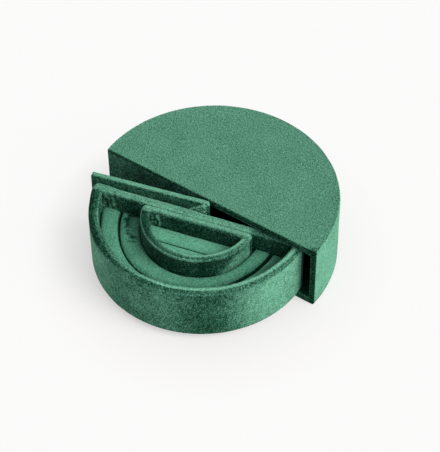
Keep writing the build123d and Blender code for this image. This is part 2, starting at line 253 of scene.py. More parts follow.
def ridge(value, middle, half):
    """1 at a middle, and 0 from half a width away from it."""
    return smooth_step(1 - abs(value - middle) / half)


def spots(place, grain, seed):
    """Soft noise between -1 and 1."""
    return noise.noise(place / grain + Vector((seed * 3.1, seed * 7.7, seed * 1.3)))


# ---- meshes ----------------------------------------------------------
def mesh_object(name, verts, faces, material, nap_and_shading=None):
    """A smooth-shaded mesh object from points in millimetres, with one shading value all over for painted light
    and shade.
    """
    data = bpy.data.meshes.new(name)
    data.from_pydata([tuple(v * MM) for v in verts], [], faces)
    if nap_and_shading is not None:
        data.attributes.new("nap_and_shading", "FLOAT", "POINT").data.foreach_set("value", [nap_and_shading] * len(verts))
    bm = bmesh.new()
    bm.from_mesh(data)
    bmesh.ops.remove_doubles(bm, verts=bm.verts, dist=0.00001)
    bmesh.ops.recalc_face_normals(bm, faces=bm.faces)
    bm.to_mesh(data)
    bm.free()
    data.polygons.foreach_set("use_smooth", [True] * len(data.polygons))
    data.materials.append(material)
    obj = bpy.data.objects.new(name, data)
    bpy.context.scene.collection.objects.link(obj)
    return obj


def loft(name, rows, material, nap_and_shading, closed=True, cap_start=False, cap_end=False):
    """Quads between rows of points, with optional fans that close the first and last row."""
    width = len(rows[0])
    verts = [v for row in rows for v in row]
    faces = []
    around = width if closed else width - 1
    for r in range(len(rows) - 1):
        for i in range(around):
            j = (i + 1) % width
            faces.append((r * width + i, r * width + j, (r + 1) * width + j, (r + 1) * width + i))
    for wanted, r in ((cap_start, 0), (cap_end, len(rows) - 1)):
        if wanted:
            verts.append(sum(rows[r], Vector()) / width)
            middle = len(verts) - 1
            faces += [(r * width + i, r * width + (i + 1) % width, middle) for i in range(width)]
    return mesh_object(name, verts, faces, material, nap_and_shading)


SHADE_FACING = Vector((0.377, -0.543, 0.750))  # painted shade: surfaces that face this fixed way are painted darkest
SHADE_FACING_START = 0.775
SHADE_FACING_WIDTH = 0.12
FINE_GRAIN = 0.28  # grain and height of the finer creases, as shares of the broad ones
FINE_HEIGHT = 0.35
PILE_GRAIN = 0.9
PILE_HEIGHT = 0.07
LIMIT_EASE = 0.4


def ruffle(obj, amount, grain, seed, bumps=None, patches=None, facing_shade=0.0, limit=math.inf):
    """Gives a cover its soft unevenness, and its painted light and shade.

    Points move along their normals by soft noise, in millimetres, and by an optional own function, and
    they ease off below a limit of height. A further share paints shade on the parts that face one fixed way.
    """
    data = obj.data
    normals = [v.normal.copy() for v in data.vertices]
    painted_shading = data.attributes["nap_and_shading"].data
    shift = Vector((seed * 13.7, seed * 5.1, seed * 9.3))
    for index, (vertex, normal) in enumerate(zip(data.vertices, normals)):
        place = vertex.co / MM
        move = noise.noise(place / grain + shift) * amount
        move += noise.noise(place / (grain * FINE_GRAIN) + shift) * amount * FINE_HEIGHT
        move += noise.noise(place / PILE_GRAIN + shift) * PILE_HEIGHT
        if bumps:
            move += bumps(place)
        painted_shading[index].value -= facing_shade * rise(normal.dot(SHADE_FACING), SHADE_FACING_START, SHADE_FACING_WIDTH)
        if patches:
            painted_shading[index].value += patches(place, normal)
        vertex.co += normal * move * MM
        over = vertex.co.z / MM - limit + LIMIT_EASE
        if over > 0:
            vertex.co.z = (limit - LIMIT_EASE * math.exp(-over / LIMIT_EASE)) * MM
    data.update()
    return obj


# ---- materials -------------------------------------------------------
def new_material(name):
    """A node material, its empty tree, its object coordinates and the input for its surface."""
    material = bpy.data.materials.new(name)
    material.use_nodes = True
    tree = material.node_tree
    tree.nodes.clear()
    output = tree.nodes.new("ShaderNodeOutputMaterial")
    coords = tree.nodes.new("ShaderNodeTexCoord")
    return material, tree, coords.outputs["Object"], output.inputs["Surface"]


def noise_node(tree, coords, scale, detail=2.0, roughness=0.5, stretch=None):
    """A noise texture on object coordinates, stretched where asked."""
    source = coords
    if stretch:
        mapping = tree.nodes.new("ShaderNodeMapping")
        mapping.inputs["Scale"].default_value = stretch
        tree.links.new(coords, mapping.inputs["Vector"])
        source = mapping.outputs["Vector"]
    texture = tree.nodes.new("ShaderNodeTexNoise")
    texture.inputs["Scale"].default_value = scale
    texture.inputs["Detail"].default_value = detail
    texture.inputs["Roughness"].default_value = roughness
    tree.links.new(source, texture.inputs["Vector"])
    return texture.outputs["Fac"]


def ramp(tree, value, low, high, to_low=0.0, to_high=1.0):
    """A map of one range to another."""
    node = tree.nodes.new("ShaderNodeMapRange")
    node.inputs["From Min"].default_value = low
    node.inputs["From Max"].default_value = high
    node.inputs["To Min"].default_value = to_low
    node.inputs["To Max"].default_value = to_high
    tree.links.new(value, node.inputs["Value"])
    return node.outputs["Result"]


def math_node(tree, operation, first, second):
    """Two values added or multiplied."""
    node = tree.nodes.new("ShaderNodeMath")
    node.operation = operation
    tree.links.new(first, node.inputs[0])
    tree.links.new(second, node.inputs[1])
    return node.outputs["Value"]


def principled(tree, surface, settings):
    """A principled shader on the surface, with some inputs set by name."""
    shader = tree.nodes.new("ShaderNodeBsdfPrincipled")
    for name, value in settings.items():
        shader.inputs[name].default_value = value
    tree.links.new(shader.outputs["BSDF"], surface)
    return shader


def roughened(tree, shader, height, strength, distance):
    """Fine bumps on a shader, from a height."""
    bump = tree.nodes.new("ShaderNodeBump")
    bump.inputs["Strength"].default_value = strength
    bump.inputs["Distance"].default_value = distance
    tree.links.new(height, bump.inputs["Height"])
    tree.links.new(bump.outputs["Normal"], shader.inputs["Normal"])


# Shading values: 0 is painted shade, 1 is light, and above 1 are painted highlights.
MIDDLE_SHADING = 0.42
MIDDLE_SHARES = (0.24, 0.30, 0.30)  # of the way from dark to light, in red, green and blue
BRIGHT_SHADING = 1.4
BRIGHT_GAIN = 1.55
BRIGHT_LIMIT = 0.75


def shading_colours(tree, nap_and_shading, dark, light):
    """Colours from painted shade at 0, over light at 1, to painted highlights beyond it."""
    node = tree.nodes.new("ShaderNodeValToRGB")
    stops = node.color_ramp.elements
    stops[0].position = 0.0
    stops[0].color = (*dark, 1)
    stops[1].position = 1.0
    stops[1].color = (*[min(BRIGHT_LIMIT, tone * BRIGHT_GAIN) for tone in light], 1)
    stops.new(1.0 / BRIGHT_SHADING).color = (*light, 1)
    middle = [d + (t - d) * share for d, t, share in zip(dark, light, MIDDLE_SHARES)]
    stops.new(MIDDLE_SHADING / BRIGHT_SHADING).color = (*middle, 1)
    tree.links.new(ramp(tree, nap_and_shading, 0.0, BRIGHT_SHADING), node.inputs["Fac"])
    return node.outputs["Color"]


def velvet(name, dark, light, mottle, pile, sheen=0.25, streak=(1.0, 1.0, 0.6), nap_and_shading=None):
    """Short-pile velvet: speckled pile, brushed patches of pile, and a bright sheen at grazing angles.

    Its shading, the pile's tone with painted light and shade, is one value all over, or else comes from the mesh.
    """
    material, tree, coords, surface = new_material(name)
    patches = noise_node(tree, coords, 70.0, detail=5.0, roughness=0.65)
    brushed = noise_node(tree, coords, 560.0, roughness=0.6, stretch=streak)
    specks = noise_node(tree, coords, 1150.0, roughness=0.8)
    clouds = ramp(tree, patches, 0.35, 0.65, -mottle / 2, mottle / 2)
    strokes = ramp(tree, brushed, 0.3, 0.7, -pile / 4, pile / 4)
    dots = ramp(tree, specks, 0.3, 0.7, -pile, pile)
    share = math_node(tree, "ADD", clouds, math_node(tree, "ADD", strokes, dots))
    if nap_and_shading is None:
        painted_shading = tree.nodes.new("ShaderNodeAttribute")
        painted_shading.attribute_name = "nap_and_shading"
        share = math_node(tree, "ADD", share, painted_shading.outputs["Fac"])
    else:
        share = ramp(tree, share, -1.0, 1.0, nap_and_shading - 1.0, nap_and_shading + 1.0)
    settings = {
        "Roughness": 0.95,
        "Specular IOR Level": 0.03,
        "Sheen Weight": sheen,
        "Sheen Roughness": 0.28,
        "Sheen Tint": (0.42, 0.95, 0.70, 1),
    }
    shader = principled(tree, surface, settings)
    tree.links.new(shading_colours(tree, share, dark, light), shader.inputs["Base Color"])
    height = math_node(tree, "ADD", specks, ramp(tree, brushed, 0.3, 0.7, 0.0, 0.8))
    roughened(tree, shader, height, 0.6, 0.0005)
    return material


def board_material(name, dark, light, grain):
    """Raw pressed board: fine fibres and soft blotches."""
    material, tree, coords, surface = new_material(name)
    fibres = noise_node(tree, coords, grain, detail=5.0, roughness=0.7)
    colour = tree.nodes.new("ShaderNodeMix")
    colour.data_type = "RGBA"
    colour.inputs["A"].default_value = (*dark, 1)
    colour.inputs["B"].default_value = (*light, 1)
    tree.links.new(ramp(tree, fibres, 0.3, 0.7), colour.inputs["Factor"])
    shader = principled(tree, surface, {"Roughness": 0.85})
    tree.links.new(colour.outputs["Result"], shader.inputs["Base Color"])
    roughened(tree, shader, fibres, 0.3, 0.0003)
    return material


def metal_material(name, tone, roughness):
    """Drawn or plated metal with fine scratches in its gloss."""
    material, tree, coords, surface = new_material(name)
    scratches = noise_node(tree, coords, 900.0, detail=4.0, stretch=(1.0, 1.0, 0.1))
    shader = principled(tree, surface, {"Base Color": (*tone, 1), "Metallic": 1.0})
    gloss = ramp(tree, scratches, 0.3, 0.7, roughness * 0.8, roughness * 1.3)
    tree.links.new(gloss, shader.inputs["Roughness"])
    return material


DARK_GREEN = (0.0010, 0.026, 0.0115)
LIGHT_GREEN = (0.150, 0.402, 0.272)
# Painted light: a lighter copy of the light green, so that the pads and rolls down in the tray stand bright.
LIT_PAD_GREEN = (0.165, 0.500, 0.330)
velvet_top = velvet("velvet_top", DARK_GREEN, LIGHT_GREEN, mottle=0.07, pile=0.50)
velvet_side = velvet("velvet_side", DARK_GREEN, LIGHT_GREEN, mottle=0.12, pile=0.50)
velvet_tray = velvet("velvet_tray", DARK_GREEN, LIGHT_GREEN, mottle=0.16, pile=0.54)
velvet_pad = velvet("velvet_pad", DARK_GREEN, LIT_PAD_GREEN, mottle=0.10, pile=0.30, streak=(1.0, 1.0, 1.0))
# The hollow's lining: its own dark green, darkened further as painted shade inside the hollow.
velvet_lining = velvet("velvet_lining", DARK_GREEN, LIGHT_GREEN, mottle=0.1, pile=0.2, sheen=0.05, nap_and_shading=0.12)
velvet_hidden = velvet("velvet_hidden", DARK_GREEN, LIGHT_GREEN, mottle=0.2, pile=0.4, nap_and_shading=0.4)
felt_base = velvet("felt_base", DARK_GREEN, LIGHT_GREEN, mottle=0.1, pile=0.3, sheen=0.1, nap_and_shading=0.3)
greyboard = board_material("greyboard", (0.16, 0.15, 0.13), (0.26, 0.25, 0.22), 700.0)
fibreboard = board_material("fibreboard", (0.20, 0.13, 0.07), (0.34, 0.24, 0.15), 500.0)
pin_steel = metal_material("pin_steel", (0.60, 0.60, 0.61), 0.32)
magnet_metal = metal_material("magnet_metal", (0.74, 0.74, 0.76), 0.18)

SLOT_MATERIALS = {
    "velvet": velvet_hidden,
    "lining_velvet": velvet_lining,
    "velvet_pads": velvet_hidden,
    "base_felt": felt_base,
    "fibreboard": fibreboard,
    "greyboard": greyboard,
    "pin_steel": pin_steel,
    "hinge_metal": pin_steel,
    "magnet_metal": magnet_metal,
}

for entry in frame["record"]["subparts"]:
    node = frame["nodes"][entry["node"]]
    node.data.materials.clear()
    node.data.materials.append(SLOT_MATERIALS[entry["material_slot"]])


def dressed(obj, body, nodes):
    """A finished cover: it rides on a body and stands for the CAD nodes under its surface."""
    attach(obj, body)
    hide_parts(*nodes)


# ---- case: the top ---------------------------------------------------
FRONT_POINTS = 160
GATHER_REACH = 14
case_plan = half_moon_outline(CASE_RADIUS, FRONT, CASE_ROUND, FRONT_POINTS, 7, 400)


def corner_wrinkles(place):
    """Pile over the curved wall, and small gathers where the velvet turns over the front corners."""
    move = 0.0
    if place.y > -FRONT + 0.5:
        move = 0.4 * rise(math.hypot(place.x, place.y), CASE_RADIUS - 1.2, 0.9)
    for side, strength in ((1, 1.0), (-1, 0.45)):
        corner = Vector((side * (CASE_RADIUS - 3), -FRONT + 1, CASE_HEIGHT - 2))
        away = (place - corner).length
        if away < GATHER_REACH:
            phase = place.x * 0.9 * side - place.y * 0.5 + place.z * 1.1
            move += strength * ridge(away, 0, GATHER_REACH) * 0.28 * math.sin(phase * 1.9)
    return move


def top_shading(place, normal):
    """Painted shade over the front face under the edge, crossed by a light line; painted shade on the strip over
    the fixed front; painted sheen along the curved edge; painted shade at the right front corner, by the open end.
    """
    value = 0.05 * spots(place, 26.0, 1)
    if place.y < -FRONT + 1.6:
        depth = CASE_HEIGHT - place.z
        if place.x > HINGE_X:
            value += 0.5 * ridge(depth, 1.55, 0.5) - 0.62 * rise(depth, 0.25, 0.4)
        else:
            value -= 0.66 * rise(depth, 0.1, 0.8)
    else:
        value += 0.22 * fall(normal.z, 0.97, 0.3)
    corner = math.hypot(place.x - CASE_RADIUS + 2, place.y + FRONT)
    return value - 0.45 * smooth_step(1.1 - corner / 6 + 0.3 * spots(place, 2.0, 32))


def make_case_top():
    """The top velvet: a flat disc that turns down over a soft edge and ends in a sewn joint."""
    tucked = ((0.7, -0.1), (0.25, 0.05), (0.03, 0.3))
    rows = [lifted(inset(case_plan, depth), SEAM_HEIGHT + up) for depth, up in tucked]
    turn = CASE_HEIGHT - CASE_ROUND
    rows += rounded_rows(lambda depth: inset(case_plan, depth), turn, CASE_ROUND, steps(0, 90, 8))
    edge = inset(case_plan, CASE_ROUND)
    middle = (0.0, 36.0)
    rows += [lifted(toward(edge, middle, share), CASE_HEIGHT) for share in steps(0.02, 0.97, 40)]
    top = loft("case_top_cover", rows, velvet_top, 0.74, cap_end=True)
    ruffle(top, 0.16, 14.0, 1, corner_wrinkles, top_shading, facing_shade=0.5)
    dressed(top, "case", ["case_top_velvet"])


make_case_top()


# ---- case: the curved wall and the fixed half of the front -----------
def side_shading(place, normal):
    """Painted light round the curve where the lamp falls, darker at the foot and under the top's edge; painted
    shade on the fixed front, lighter towards its upper left; painted shade on the open end, with a painted
    highlight line along its inner edge.
    """
    if place.y < -FRONT + 1.1:
        if place.x > 0:
            return -0.08 + 0.50 * fall(place.x, WALL_END + 0.95, 0.6) + 0.12 * spots(place, 2.0, 31)
        value = 0.31 + 0.14 * spots(place, 9.0, 2) + 0.12 * spots(place, 3.0, 3)
        return value + 0.20 * rise(place.z, 40, 12) * fall(place.x, -60, 20)
    value = 0.96 + 0.07 * spots(place, 22.0, 4) - 0.28 * fall(place.z, 3.0, 2.0)
    return value - 0.30 * rise(place.z, SEAM_HEIGHT - 0.7, 0.6)


def make_case_side():
    """One strip of velvet from the hinge, round the left corner and the curve, to the open end."""
    left_corner = FRONT_POINTS // 2
    path = [(HINGE_X, -FRONT + 1.4), (HINGE_X, -FRONT + 0.5), (HINGE_X - 0.15, -FRONT + 0.12)]
    path += [p for p in case_plan[:left_corner] if p[0] <= HINGE_X]
    for p in case_plan[left_corner:]:
        if p[1] < -FRONT + 0.01 and 0 < p[0] < WALL_END + 1.2:
            break
        path.append(p)
    path += [(WALL_END + 1.0, -FRONT), (WALL_END + 0.55, -FRONT + 0.1), (WALL_END + 0.2, -FRONT + 0.4)]
    path += [(WALL_END - 0.2, -FRONT + 0.9), (WALL_END - 0.3, -FRONT + 2.0), (WALL_END - 0.1, -FRONT + 5.0)]
    low = 0.35
    high = SEAM_HEIGHT - 0.05
    profile = [(0.75, low), (0.3, low + 0.12), (0.05, low + 0.5)]
    profile += [(0.0, z) for z in steps(low + 1.2, high - 0.9, 44)]
    profile += [(0.05, high - 0.35), (0.3, high - 0.05), (0.8, high)]
    rows = [lifted(inset(path, depth, closed=False), z) for depth, z in profile]
    side = loft("case_side_cover", rows, velvet_side, 0.0, closed=False)
    ruffle(side, 0.14, 17.0, 2, corner_wrinkles, side_shading)
    dressed(side, "case", ["case_wall_velvet", "case_front_velvet"])


make_case_side()


def make_edge_band(name, low, high, lines, seed):
    """Velvet over the front edge of the top or base board, along the open half.

    A line is a height of a fold with a painted highlight, and how bright. Between lines the band is painted in
    shade.
    """
    section = [(2.2, low + 0.02), (1.0, low + 0.03), (0.45, low + 0.1), (0.12, low + 0.35)]
    section += [(0.0, z) for z in steps(low + 0.7, high - 0.6, 14)]
    section += [(0.08, high - 0.3), (0.5, high - 0.08), (1.2, high)]
    along = steps(HINGE_X, WALL_END + 1.0, 170)
    rows = [[Vector((x, -FRONT + 0.15 + back, z)) for x in along] for back, z in section]

    def band_bumps(place):
        folds = sum(0.12 * ridge(place.z, line, 0.8) for line, _ in lines)
        return folds + 0.5 * corner_wrinkles(place)

    def band_shading(place, normal):
        value = 0.05 + 0.10 * spots(place, 2.2, seed)
        for line, level in lines:
            value += level * ridge(place.z + 0.25 * spots(place, 5.0, seed + 1), line, 0.75)
        return value

    band = loft(name, rows, velvet_side, 0.0, closed=False)
    ruffle(band, 0.12, 9.0, seed, band_bumps, band_shading)
    dressed(band, "case", ["case_edge_velvet"])


PLATE_LOW = CASE_HEIGHT - PLATE
make_edge_band("top_edge_band", PLATE_LOW, SEAM_HEIGHT, [(PLATE_LOW + 0.7, 0.42)], 3)
make_edge_band("base_edge_band", 0.4, PLATE, [(PLATE - 0.6, 0.32), (PLATE - 3.1, 0.3)], 4)


# ---- drawer: the panel -----------------------------------------------
def panel_outline(shrink):
    """Plan of the panel: square free end with soft corners, round hinge end."""
    half = PANEL_THICKNESS / 2 - shrink
    corner = max(1.2 - shrink, 0.15)
    left = -PANEL_REACH + shrink
    points = arc((0.0, 0.0), half, math.pi / 2, -math.pi / 2, 16)
    points += straight((0.0, -half), (left + corner, -half), 90)
    points += arc((left + corner, -half + corner), corner, -math.pi / 2, -math.pi, 5)
    points += straight((left, -half + corner), (left, half - corner), 4)
    points += arc((left + corner, half - corner), corner, math.pi, math.pi / 2, 5)
    points += straight((left + corner, half), (0.0, half), 90)
    return swung(points, angle=DRAWER_ANGLE)


def panel_shading(place, normal):
    """Painted light along the top with painted shade at its near edge, and painted shade on the near face, lighter
    in random patches and towards the top.
    """
    rim = rise(place.z, CASE_HEIGHT - 2.2, 1.2)
    face = 0.18 + 0.26 * max(0.0, spots(place, 7.0, 5)) + 0.10 * spots(place, 2.5, 6)
    face += 0.12 * rise(place.z, 50, 4)
    _, across = swing_place(place, DRAWER_ANGLE)
    top = 0.96 + 0.08 * spots(place, 2.5, 30) - 0.80 * fall(across, -0.9, 1.5)
    return face * (1 - rim) + top * rim


def make_panel():
    """The upright panel that carries the tray, from its tucked foot to its soft top edge."""
    foot = ((0.6, 0.05), (0.2, 0.15), (0.02, 0.6))
    rows = [lifted(panel_outline(shrink), z) for shrink, z in foot]
    rows += [lifted(panel_outline(0.0), z) for z in steps(2.0, CASE_HEIGHT - PANEL_ROUND - 0.8, 22)]
    rows += rounded_rows(panel_outline, CASE_HEIGHT - PANEL_ROUND, PANEL_ROUND, steps(0, 78, 8))
    rows.append(lifted(panel_outline(PANEL_THICKNESS / 2 - 0.35), CASE_HEIGHT))
    panel = loft("panel_cover", rows, velvet_tray, 0.0, cap_start=True, cap_end=True)
    ruffle(panel, 0.13, 12.0, 5, None, panel_shading)
    dressed(panel, "drawer", ["panel_velvet"])


make_panel()

# ---- drawer: the flap beside the hinge, with x along the panel -------
GUSSET_LEFT = -12.5
GUSSET_RIGHT = 1.4
GUSSET_FOOT = 44.0
GUSSET_LOW = 49.0  # height of the slanting upper edge at its left end
GUSSET_RISE = 8.1
GUSSET_SLANT = 11.5  # length over which the edge rises
GUSSET_COUNT = 60
CREASES = ((0.8, 1.0), (3.6, 0.75), (6.4, 0.8))  # depth below the edge, strength


def gusset_top(x):
    """Height of the flap's slanting upper edge over the panel's near face."""
    return GUSSET_LOW + GUSSET_RISE * min(1.0, (x - GUSSET_LEFT) / GUSSET_SLANT)


def gusset_crease(x, z):
    """Ragged creases that run along the slanting edge: 1 on a crease, 0 between two."""
    place = Vector((x, 0.0, z))
    below = gusset_top(x) - z + 1.5 * noise.noise(place / 2.6) + 0.6 * noise.noise(place / 1.1)
    crease = max(strength * ridge(below, depth, 1.5) for depth, strength in CREASES)
    return max(crease, 0.8 * smooth_step(0.2 + 1.6 * noise.noise(place / 1.7 + Vector((9.0, 2.0, 5.0)))))


def flap_shading(place, normal):
    """Painted highlights on the creases, painted shade between them."""
    x, _ = swing_place(place, DRAWER_ANGLE)
    return 0.16 + 1.05 * gusset_crease(x, place.z) + 0.2 * spots(place, 1.4, 18)


def make_gusset():
    """The crumpled corner of velvet that bridges the panel and the tray beside the hinge."""
    rows = []
    for across in steps(0.0, 1.0, GUSSET_COUNT):
        x = GUSSET_LEFT + (GUSSET_RIGHT - GUSSET_LEFT) * across
        wrap = 1.2 * rise(x, -0.2, 1.6)
        row = []
        for up in steps(0.0, 1.0, GUSSET_COUNT):
            z = GUSSET_FOOT + (gusset_top(x) - GUSSET_FOOT) * up
            edge = smooth_step(min(up, 1 - up) / 0.10) * smooth_step(min(across, 1 - across) / 0.08)
            proud = 0.7 + 0.9 * across + 0.9 * gusset_crease(x, z)
            row.append((x, -PANEL_THICKNESS / 2 + 0.3 + wrap - edge * proud, z))
        rows.append(swung_row(row, DRAWER_ANGLE))
    flap = loft("hinge_gusset_cover", rows, velvet_tray, 0.0, closed=False)
    ruffle(flap, 0.1, 3.0, 19, None, flap_shading)
    dressed(flap, "drawer", ["hinge_gusset"])
    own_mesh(flap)


make_gusset()


# ---- drawer: the walls of the two D-shaped boxes ---------------------
def ring_cover(name, outer, inner, foot, floor, rim, roundness, seed, bumps, patches):
    """Velvet over the walls of a D-shaped box: up the outside, over the round rim, down the inside."""
    shoulder = rim - roundness
    profile = [(0.0, z) for z in steps(foot, shoulder, 30)]
    for angle in steps(0, 180, 26)[1:-1]:
        share, height = arch(angle, 0.8, 0.8)
        profile.append((share, shoulder + roundness * height))
    profile += [(1.0, z) for z in steps(shoulder, floor, 20)]
    pairs = list(zip(outer, inner))
    rows = []
    for share, z in profile:
        wall = [(ox + (ix - ox) * share, oy + (iy - oy) * share) for (ox, oy), (ix, iy) in pairs]
        rows.append(lifted(wall, z))
    cover = loft(name, rows, velvet_tray, 0.0)
    return ruffle(cover, 0.16, 11.0, seed, bumps, patches, limit=LID_CLEARANCE)


def tray_crest(place, turn, ins):
    """Painted shade and highlights over the tray's curved rim: painted shade on the outer rounding, a painted
    highlight ridge inside, lighter where the wall faces the lamp at the right.

    Turn is 1 where the wall faces right and -1 where it faces left. Ins is the way in from its outer face.
    """
    dark = 0.03 + 0.22 * rise(turn, -0.65, 0.6) + 0.18 * rise(turn, 0.4, 0.6)
    light = 0.15 + 0.25 * rise(turn, -0.95, 0.25) + 0.60 * rise(turn, -0.65, 0.95)
    start = 2.7 - 0.9 * rise(turn, 0.0, 0.8)
    value = dark + (light - dark) * rise(ins + 0.6 * spots(place, 3.0, 21), start, 1.9)
    crest = ridge(ins, 4.2, 1.3) * rise(turn, -0.15, 0.4)
    crest += 1.3 * ridge(ins, 6.8, 1.3) * fall(turn, -0.5, 0.25)
    edge = fall(ins, 1.2, 0.9) * rise(turn, -0.6, 0.3)
    return value + 0.32 * crest + (0.45 - value) * edge + 0.10 * spots(place, 1.6, 22)


def inner_crest(place, turn, ins):
    """Painted light and shade over the inner box's curved rim: a painted highlight line on the outer edge, painted
    shade, then painted light towards the pads.
    """
    dark = 0.02 + 0.20 * rise(turn, -0.55, 0.8) + 0.20 * rise(turn, 0.6, 0.4)
    light = 0.12 + 1.05 * rise(turn, -0.8, 1.2)
    width = 3.8 - 1.4 * rise(turn, 0.0, 0.7)
    value = dark + (light - dark) * rise(ins + 0.5 * spots(place, 3.0, 23), 1.6, width)
    # painted highlight line along the outer edge of the rim
    outer_edge_light = 0.80 - 0.30 * rise(turn, 0.45, 0.3) + 0.2 * spots(place, 1.2, 24)
    return value + (outer_edge_light - value) * fall(ins, 1.25, 0.5) + 0.12 * spots(place, 1.6, 25)


def tray_back_crest(place, along, ins):
    """Painted light over the whole back wall, painted shade at its near edge where no box covers it, and painted
    shadow of the case's top towards its right end.
    """
    value = 0.95 + 0.06 * spots(place, 2.5, 26) - 0.14 * ridge(ins, 3.4, 2)
    if along < INNER_X - INNER_RADIUS + 3:
        value -= 0.55 * rise(ins, 4.2, 2.4)
    return value - 0.50 * rise(along, 34, 8)


def inner_back_crest(place, along, ins):
    """Painted light at the rear of the inner box's back wall, and painted shade at its near edge, less so at its
    ends.
    """
    value = 0.97 + 0.10 * spots(place, 2.0, 27) - 0.88 * rise(ins, 2.2, 3.4)
    return value + 0.4 * rise(abs(along - INNER_X), 30, 6) * rise(ins, 3, 2)


def box_shading(centre, radius, back, chord, rim, crest, back_crest, outside, inside):
    """Painted light and shade of a D-shaped box, from functions for its rim, its back wall's rim and its two
    sides.
    """
    c = math.cos(math.radians(TRAY_ANGLE))
    s = math.sin(math.radians(TRAY_ANGLE))

    def patches(place, normal):
        x, y = swing_place(place)
        on_back = y > back
        outward = Vector((0, 1, 0)) if on_back else Vector((x - centre[0], y - centre[1], 0)).normalized()
        facing = Vector((outward.x * c - outward.y * s, outward.x * s + outward.y * c, 0))
        depth = rim - place.z
        if on_back:
            top = back_crest(place, x, chord - y)
            blend = rise(depth, 0.6, 1.6)
        else:
            top = crest(place, facing.x, radius - math.hypot(x - centre[0], y - centre[1]))
            blend = rise(depth, 1.5, 1.5)
        side = outside if normal.dot(facing) > 0 else inside
        return top * (1 - blend) + side(place, facing, depth) * blend

    return patches


def pucker(corner, reach, strength, wave):
    """Vertical gathers of velvet in an inside corner."""

    def bumps(place):
        away = math.hypot(place.x - corner[0], place.y - corner[1])
        lean = spots(place, 6.0, 1) * 1.5
        return strength * ridge(away, 0, reach) * math.sin(away * wave + lean + place.z * 0.22)

    return bumps


def crease_highlights(place, corner, reach, seed):
    """Painted highlights on the creases round a corner: 0 away from it."""
    away = math.hypot(place.x - corner[0], place.y - corner[1])
    return ridge(away, 0, reach) * smooth_step(0.45 + 1.5 * spots(place, 2.4, seed))


SECTION = (240, 8, 330)  # points along the straight side, round a corner and round the curve
REARWARD = Vector((-0.23, 0.97, 0))  # the way that the tray's rear face looks
tray_corner, tray_ear, inner_corner = swung([(-72.0, -12.0), (-82.2, -6.0), (-33.5, -17.6)])
tray_gathers = pucker(tray_corner, 12.0, 0.6, 1.4)
inner_gathers = pucker(inner_corner, 9.0, 0.55, 1.6)


def tray_bumps(place):
    """Gathers inside the left corner, bunched velvet on top of it, and a swollen rear edge."""
    away = math.hypot(place.x - tray_ear[0], place.y - tray_ear[1])
    lift = 1.1 * ridge(away, 0, 16) * rise(place.z, TRAY_RIM - 6, 5)
    x, y = swing_place(place)
    rear = rise(y, -TRAY_OFFSET - 3.6, 2.6) * rise(place.z, TRAY_RIM - 4.5, 3)
    rear *= 0.75 - 0.55 * rise(x, -8, 8)
    bunch = 0.45 * ridge(away, 0, 12) * spots(place, 2.4, 29)
    return lift + rear + bunch + tray_gathers(place)


def tray_outside(place, facing, depth):
    """Painted light and shade on the outside, with brushed streaks: painted sheen to the left with painted shade
    along its upper edge, painted shade on the front, painted light at the right where the lamp falls, darker
    towards the bottom.
    """
    # Rear face: painted black as shadow where it stands in the hollow.
    if facing.dot(REARWARD) > 0.9:
        return -0.2 if place.x > 60 else 0.25
    value = 0.54 + 0.12 * spots(place, 12.0, 7) + 0.12 * spots(place, 3.5, 8)
    value += 0.24 * fall(facing.x, -0.20, 0.35) - 0.32 * ridge(facing.x, 0.57, 0.32)
    value += 0.42 * rise(facing.x, 0.72, 0.25)
    value -= 0.55 * fall(facing.x, -0.35, 0.3) * fall(depth, 8, 5)
    value -= 0.10 * rise(depth, 26, 14) * rise(facing.x, -0.4, 0.4)
    streaks = spots(Vector((place.x * 1.5, place.y * 1.5, place.z * 0.25)), 3.0, 28)
    return value + 0.16 * streaks * fall(facing.x, -0.3, 0.4)


def tray_inside(place, facing, depth):
    """Painted shade on the inside, with painted highlights on the creases in the left corner and a painted sheen
    edge at the left.
    """
    value = 0.13 + 0.10 * spots(place, 4.0, 9) + 0.85 * crease_highlights(place, tray_corner, 11.0, 10)
    return value + 0.40 * fall(facing.x, -0.6, 0.2) * fall(depth, 4.5, 2.5)


def make_tray():
    """Velvet over the tray's curved wall and its back wall."""
    outer = swung(d_outline(TRAY_RADIUS, TRAY_CHORD, TRAY_CORNER, *SECTION), TRAY_CENTRE)
    inner = swung(d_outline(TRAY_RADIUS - TRAY_WALL, TRAY_CHORD + TRAY_BACK, 1.2, *SECTION), TRAY_CENTRE)
    nap_and_shading = box_shading(
        TRAY_CENTRE,
        TRAY_RADIUS,
        -BACK_FACE - 0.5,
        -TRAY_OFFSET,
        TRAY_RIM,
        tray_crest,
        tray_back_crest,
        tray_outside,
        tray_inside,
    )
    foot = TRAY_BOTTOM + 0.1
    cover = ring_cover("tray_cover", outer, inner, foot, TRAY_FLOOR + 12, TRAY_RIM, 3.2, 6, tray_bumps, nap_and_shading)
    dressed(cover, "drawer", ["tray_wall_velvet", "tray_back_velvet"])


make_tray()


def inner_bumps(place):
    """Gathers inside the left corner, and velvet pressed against the tray's back wall."""
    _, y = swing_place(place)
    rear = rise(y, -BACK_FACE - 2.4, 2.0) * rise(place.z, INNER_RIM - 4.5, 3)
    return 0.8 * rear + inner_gathers(place)


def inner_outside(place, facing, depth):
    """Painted shade on the outside, lighter in random patches, with painted sheen at the left, painted light where
    it faces the lamp at the right, and darker towards the bottom.
    """
    value = 0.12 + 0.26 * fall(facing.x, -0.6, 0.25) * fall(depth, 16, 10)
    value += 0.58 * rise(facing.x + 0.012 * (depth - 8), 0.85, 0.12)
    value -= 0.12 * ridge(facing.x, 0.65, 0.2)
    value += 0.22 * max(0.0, spots(place, 5.5, 11)) + 0.12 * spots(place, 2.5, 12)
    return value - 0.10 * rise(depth, 14, 4)


